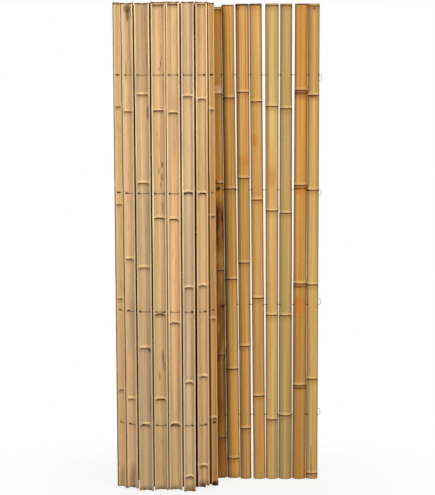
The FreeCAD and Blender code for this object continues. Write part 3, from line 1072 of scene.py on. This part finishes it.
def hollow_material(name):
    """The dull, fibrous inside of a cane, stained and given painted shadow below its diaphragms, a
    painted highlight on their lips and painted light and shade on its walls.
    """
    colours = bpy.context.scene.fence_colours
    material, graph, shader = blank_material(name)
    fine = fibres(graph, 1700, 16, 2)
    broad = fibres(graph, 300, 2.5, 6)
    band = fibres(graph, 130, 1.3, 19, detail=1.5)
    cloud = fibres(graph, 70, 7, 11)
    wide = fibres(graph, 30, 1.8, 15, detail=1.0)
    speck = fibres(graph, 700, 260, 23, detail=1.0)
    smudge = fibres(graph, 190, 13, 31)
    turned = read(graph, "around")
    colour = graph.layered(read(graph, "hollow_tint", "Color"), (
        (band, 0.5, 0.75, 0.4, colours.fibre),
        (band, 0.5, 0.25, 0.4, colours.cut_face),
        (broad, 0.5, 0.8, 0.4, colours.fibre),
        (wide, 0.5, 0.75, 0.3, GREY),
        (smudge, 0.56, 0.74, 0.4, MOULD),
        (fine, 0.5, 0.8, 0.3, colours.fibre),
        # Painted light and shade: the walls on one side of the hollow darken and those on the other
        # lighten, as if lit from that side
        (turned, 0.012, 0.033, 0.25, colours.fibre),
        (turned, -0.016, -0.032, 0.5, colours.cut_face),
    ))
    # Below each diaphragm: a mould stain with painted shade, a painted shadow just under it that is
    # darker where it domes more, and its pale split lip brightened further as a painted highlight
    below = beside_node(graph, 0.3, -0.8, 0.022, 0.002)
    ledge_shadow = beside_node(graph, 0.2, -0.8, 0.01, 0.0025)
    lip = beside_node(graph, -0.9, -0.1, 0.01, 0.003)
    ledge_shadow_strength = graph.times_plus(read(graph, "ledge_shadow_depth"), 0.5, 0.4)
    colour = graph.mix(graph.times(below, 0.5), colour, MOULD)
    colour = graph.mix(graph.times(ledge_shadow, ledge_shadow_strength), colour, DARK)
    colour = graph.mix(graph.times(lip, 0.75), colour, colours.cut_face)
    colour = with_marks(graph, colour, cloud)
    colour = graph.layered(colour, ((speck, 0.7, 0.8, 0.6, MOULD),))
    graph.fill(shader, {
        "Base Color": with_dark_ends_and_hole_shade(graph, colour, cloud),
        "Roughness": graph.ramp(cloud, 0.3, 0.7, 0.62, 0.8),
        "Specular IOR Level": 0.04,
        "Normal": relief(graph, graph.plus(fine, broad), 0.35, 0.5 * MM),
    })
    return material


def split_face_material(name):
    """The pale split faces, streaked by torn fibres and aged towards the foot."""
    colours = bpy.context.scene.fence_colours
    material, graph, shader = blank_material(name)
    x, y, z = graph.parts(own_place(graph))
    torn = graph.combine(graph.times(x, 1500), graph.times(y, 1500), graph.times(z, 22))
    fine = graph.noise(torn, 0, detail=3.0)
    cloud = fibres(graph, 60, 8, 17)
    age = graph.ramp(read(graph, "along"), 1.75, 0.5, 0, 0.26)
    aged = graph.ramp(graph.plus(fibres(graph, 20, 2.2, 25, detail=2.0), age), 0.4, 0.62, 0.1, 1)
    colour = graph.mix(aged, colours.cut_face, read(graph, "hollow_tint", "Color"))
    colour = graph.layered(colour, (
        (fine, 0.5, 0.8, 0.5, colours.fibre), (cloud, 0.5, 0.8, 0.3, OLIVE),
    ))
    graph.fill(shader, {
        "Base Color": with_dark_ends_and_hole_shade(graph, colour, cloud),
        "Roughness": 0.66,
        "Specular IOR Level": 0.15,
        "Normal": relief(graph, fine, 0.4, 0.5 * MM),
    })
    return material


def end_grain_material(name):
    """A sawn end: pale ground dotted by the dark ends of the fibres."""
    material, graph, shader = blank_material(name)
    place = own_place(graph)
    dots = graph.add("ShaderNodeTexVoronoi", {"Vector": place, "Scale": 1100.0}).outputs["Distance"]
    cloud = graph.noise(place, 0, scale=160.0, detail=3.0)
    graph.fill(shader, {
        "Base Color": graph.layered(bpy.context.scene.fence_colours.end_grain, (
            (dots, 0.42, 0.15, 0.75, MOULD), (cloud, 0.45, 0.75, 0.5, MOULD),
        )),
        "Roughness": 0.8,
        "Normal": relief(graph, dots, 0.4, 0.3 * MM),
    })
    return material


def bore_material(name):
    """The wall of a drilled hole, painted dark as the shade inside a hole."""
    material, graph, shader = blank_material(name)
    cloud = graph.noise(own_place(graph), 0, scale=900.0)
    graph.fill(shader, {
        "Base Color": graph.layered(BLACK, ((cloud, 0.35, 0.7, 1, DARK),)),
        "Roughness": 0.85,
    })
    return material


def wire_material():
    """Galvanised wire: dull zinc with a faint spangle and grey bloom."""
    finish = bpy.context.scene.fence_wire
    material, graph, shader = blank_material("galvanised wire")
    place = own_place(graph)
    grains = graph.add("ShaderNodeTexVoronoi", {"Vector": place, "Scale": 420.0}).outputs["Color"]
    cloud = graph.noise(place, 0, scale=90.0, detail=3.0)
    graph.fill(shader, {
        "Base Color": graph.layered(finish.zinc, (
            (graph.first("ShaderNodeSeparateColor", {0: grains}), 0, 1, 0.35, finish.spangle),
            (cloud, 0.58, 0.8, 0.5, finish.bloom),
        )),
        "Metallic": 0.3,
        "Specular IOR Level": 0.1,
        "Roughness": graph.ramp(cloud, 0.3, 0.7, finish.roughness - 0.08, finish.roughness + 0.14),
        "Normal": relief(graph, cloud, 0.15, 0.3 * MM),
    })
    return material


# Stage

# The floor: its radius, its sides, how far it lies below the mat and its clouds
FLOOR_RADIUS = 12
FLOOR_SIDES = 96
FLOOR_DROP = 0.5 * MM
FLOOR_SHADE = (0.6, 0.6, 0.6)
# What the lights look at
MAT_MIDDLE = (0, 0, 0.9)
# Width of the camera's film, in millimetres
SENSOR_WIDTH = 36


def area_light(name, place, width, power):
    """A square light that looks at the middle of the mat."""
    light = bpy.data.lights.new(name, "AREA")
    light.shape = "RECTANGLE"
    light.size = light.size_y = width
    light.energy = power
    lamp = placed(name, light)
    lamp.location = place
    towards = Vector(MAT_MIDDLE) - Vector(place)
    lamp.rotation_euler = towards.to_track_quat("-Z", "Y").to_euler()


def surround_shows(graph):
    """1 for the rays that show the surround, and 0 for those that only light."""
    rays = graph.add("ShaderNodeLightPath").outputs
    direct = graph.math("MAXIMUM", rays["Is Camera Ray"], rays["Is Glossy Ray"])
    return graph.math("MAXIMUM", direct, rays["Is Transmission Ray"])


def make_floor(settings):
    """A round pale floor that fades into the white behind it."""
    turns = [2 * math.pi * side / FLOOR_SIDES for side in range(FLOOR_SIDES)]
    points = [
        (FLOOR_RADIUS * math.cos(turn), FLOOR_RADIUS * math.sin(turn), -FLOOR_DROP)
        for turn in turns
    ]
    mesh = bpy.data.meshes.new("floor")
    mesh.from_pydata(points, [], [range(FLOOR_SIDES)])
    material, graph, shader = blank_material("pale floor")
    place = own_place(graph)
    grain = graph.noise(place, 0, scale=40.0, detail=3.0)
    graph.fill(shader, {
        "Base Color": graph.layered(settings.floor, ((grain, 0.3, 0.7, 0.03, FLOOR_SHADE),)),
        "Roughness": 0.9,
    })
    away = graph.add("ShaderNodeVectorMath", {0: place}, operation="LENGTH").outputs["Value"]
    fade = graph.times(graph.ramp(away, 0.3, 1.1, 0.85, 1.0), surround_shows(graph))
    white = graph.first("ShaderNodeEmission", {"Color": (1, 1, 1), "Strength": 1.0})
    look = graph.first("ShaderNodeMixShader", {0: fade, 1: shader.outputs[0], 2: white})
    output = next(node for node in graph.tree.nodes if node.type == "OUTPUT_MATERIAL")
    graph.put(output.inputs["Surface"], look)
    mesh.materials.append(material)
    placed("floor", mesh)


def make_world(settings):
    """Even light from all round, behind it plain white to look at."""
    world = bpy.data.worlds.new("white surround")
    bpy.context.scene.world = world
    world.use_nodes = True
    world.node_tree.nodes.clear()
    graph = Graph(world.node_tree)
    even, white = (
        graph.first("ShaderNodeBackground", {"Color": (1, 1, 1), "Strength": strength})
        for strength in (settings.sky, 1.0)
    )
    look = graph.first("ShaderNodeMixShader", {0: surround_shows(graph), 1: even, 2: white})
    graph.add("ShaderNodeOutputWorld", {"Surface": look})


def make_camera(settings):
    data = bpy.data.cameras.new("camera")
    data.sensor_width = SENSOR_WIDTH
    data.lens = settings.lens
    camera = placed("camera", data)
    camera.location = (settings.sidestep, -settings.distance, settings.eye_height)
    camera.rotation_euler = (math.pi / 2 - settings.tilt, 0, 0)
    bpy.context.scene.camera = camera


# Operators

class FENCE_OT_open_end(Operator):
    """Makes the canes of the open end, skin side to the front"""
    bl_idname = "fence.open_end"
    bl_label = "Canes of the Open End"

    def execute(self, context):
        return make_canes(OPEN_END)


class FENCE_OT_roll_back(Operator):
    """Makes the canes at the back of the roll"""
    bl_idname = "fence.roll_back"
    bl_label = "Canes at the Roll's Back"

    def execute(self, context):
        return make_canes(ROLL_BACK)


class FENCE_OT_roll_front(Operator):
    """Makes the canes at the front of the roll, hollow side out"""
    bl_idname = "fence.roll_front"
    bl_label = "Canes at the Roll's Front"

    def execute(self, context):
        return make_canes(ROLL_FRONT)


class FENCE_OT_roll_inside(Operator):
    """Makes the canes of the roll's inner turn"""
    bl_idname = "fence.roll_inside"
    bl_label = "Canes inside the Roll"

    def execute(self, context):
        return make_canes(ROLL_INSIDE)


class FENCE_OT_wires(Operator):
    """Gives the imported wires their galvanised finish"""
    bl_idname = "fence.wires"
    bl_label = "Galvanised Wires"

    def execute(self, context):
        material = wire_material()
        for name in WIRES:
            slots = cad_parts[name].data.materials
            slots.clear()
            slots.append(material)
        return {"FINISHED"}


class FENCE_OT_stage(Operator):
    """Makes the floor, the lights, the white surround and the camera"""
    bl_idname = "fence.stage"
    bl_label = "Stage"

    def execute(self, context):
        scene = context.scene
        settings = scene.fence_stage
        make_floor(settings)
        make_world(settings)
        area_light("key", (3.0, -4.9, 3.0), 2.0, settings.key_power)
        area_light("fill", (-2.4, -5.0, 2.0), 2.4, settings.fill_power)
        area_light("back", (-1.2, 5.2, 3.2), 3.0, settings.back_power)
        make_camera(settings)
        scene.view_settings.view_transform = "Standard"
        return {"FINISHED"}


class FENCE_PT_panel(Panel):
    """The mat's pieces, their sizes and colours"""
    bl_idname = "FENCE_PT_panel"
    bl_label = "Bamboo Fence Mat"
    bl_space_type = "VIEW_3D"
    bl_region_type = "UI"
    bl_category = "Fence"

    def draw(self, context):
        scene = context.scene
        for title, settings, steps in (
            ("Canes", scene.fence_cane,
             ("fence.open_end", "fence.roll_back", "fence.roll_front", "fence.roll_inside")),
            ("Cane colours", scene.fence_colours, ()),
            ("Wires", scene.fence_wire, ("fence.wires",)),
            ("Stage", scene.fence_stage, ("fence.stage",)),
        ):
            box = self.layout.box()
            box.label(text=title)
            for name in settings.__annotations__:
                box.prop(settings, name)
            for step in steps:
                box.operator(step)


SETTINGS = {
    "fence_cane": CaneSizes, "fence_colours": CaneColours,
    "fence_wire": WireFinish, "fence_stage": StageSettings,
}
CLASSES = (
    *SETTINGS.values(), FENCE_OT_open_end, FENCE_OT_roll_back, FENCE_OT_roll_front,
    FENCE_OT_roll_inside, FENCE_OT_wires, FENCE_OT_stage, FENCE_PT_panel,
)


def register():
    for item in CLASSES:
        bpy.utils.register_class(item)
    for name, group in SETTINGS.items():
        setattr(bpy.types.Scene, name, PointerProperty(type=group))


def unregister():
    for name in SETTINGS:
        delattr(bpy.types.Scene, name)
    for item in reversed(CLASSES):
        bpy.utils.unregister_class(item)


def main():
    register()
    bpy.ops.fence.open_end()
    bpy.ops.fence.roll_back()
    bpy.ops.fence.roll_front()
    bpy.ops.fence.roll_inside()
    bpy.ops.fence.wires()
    bpy.ops.fence.stage()


if __name__ == "__main__":
    main()
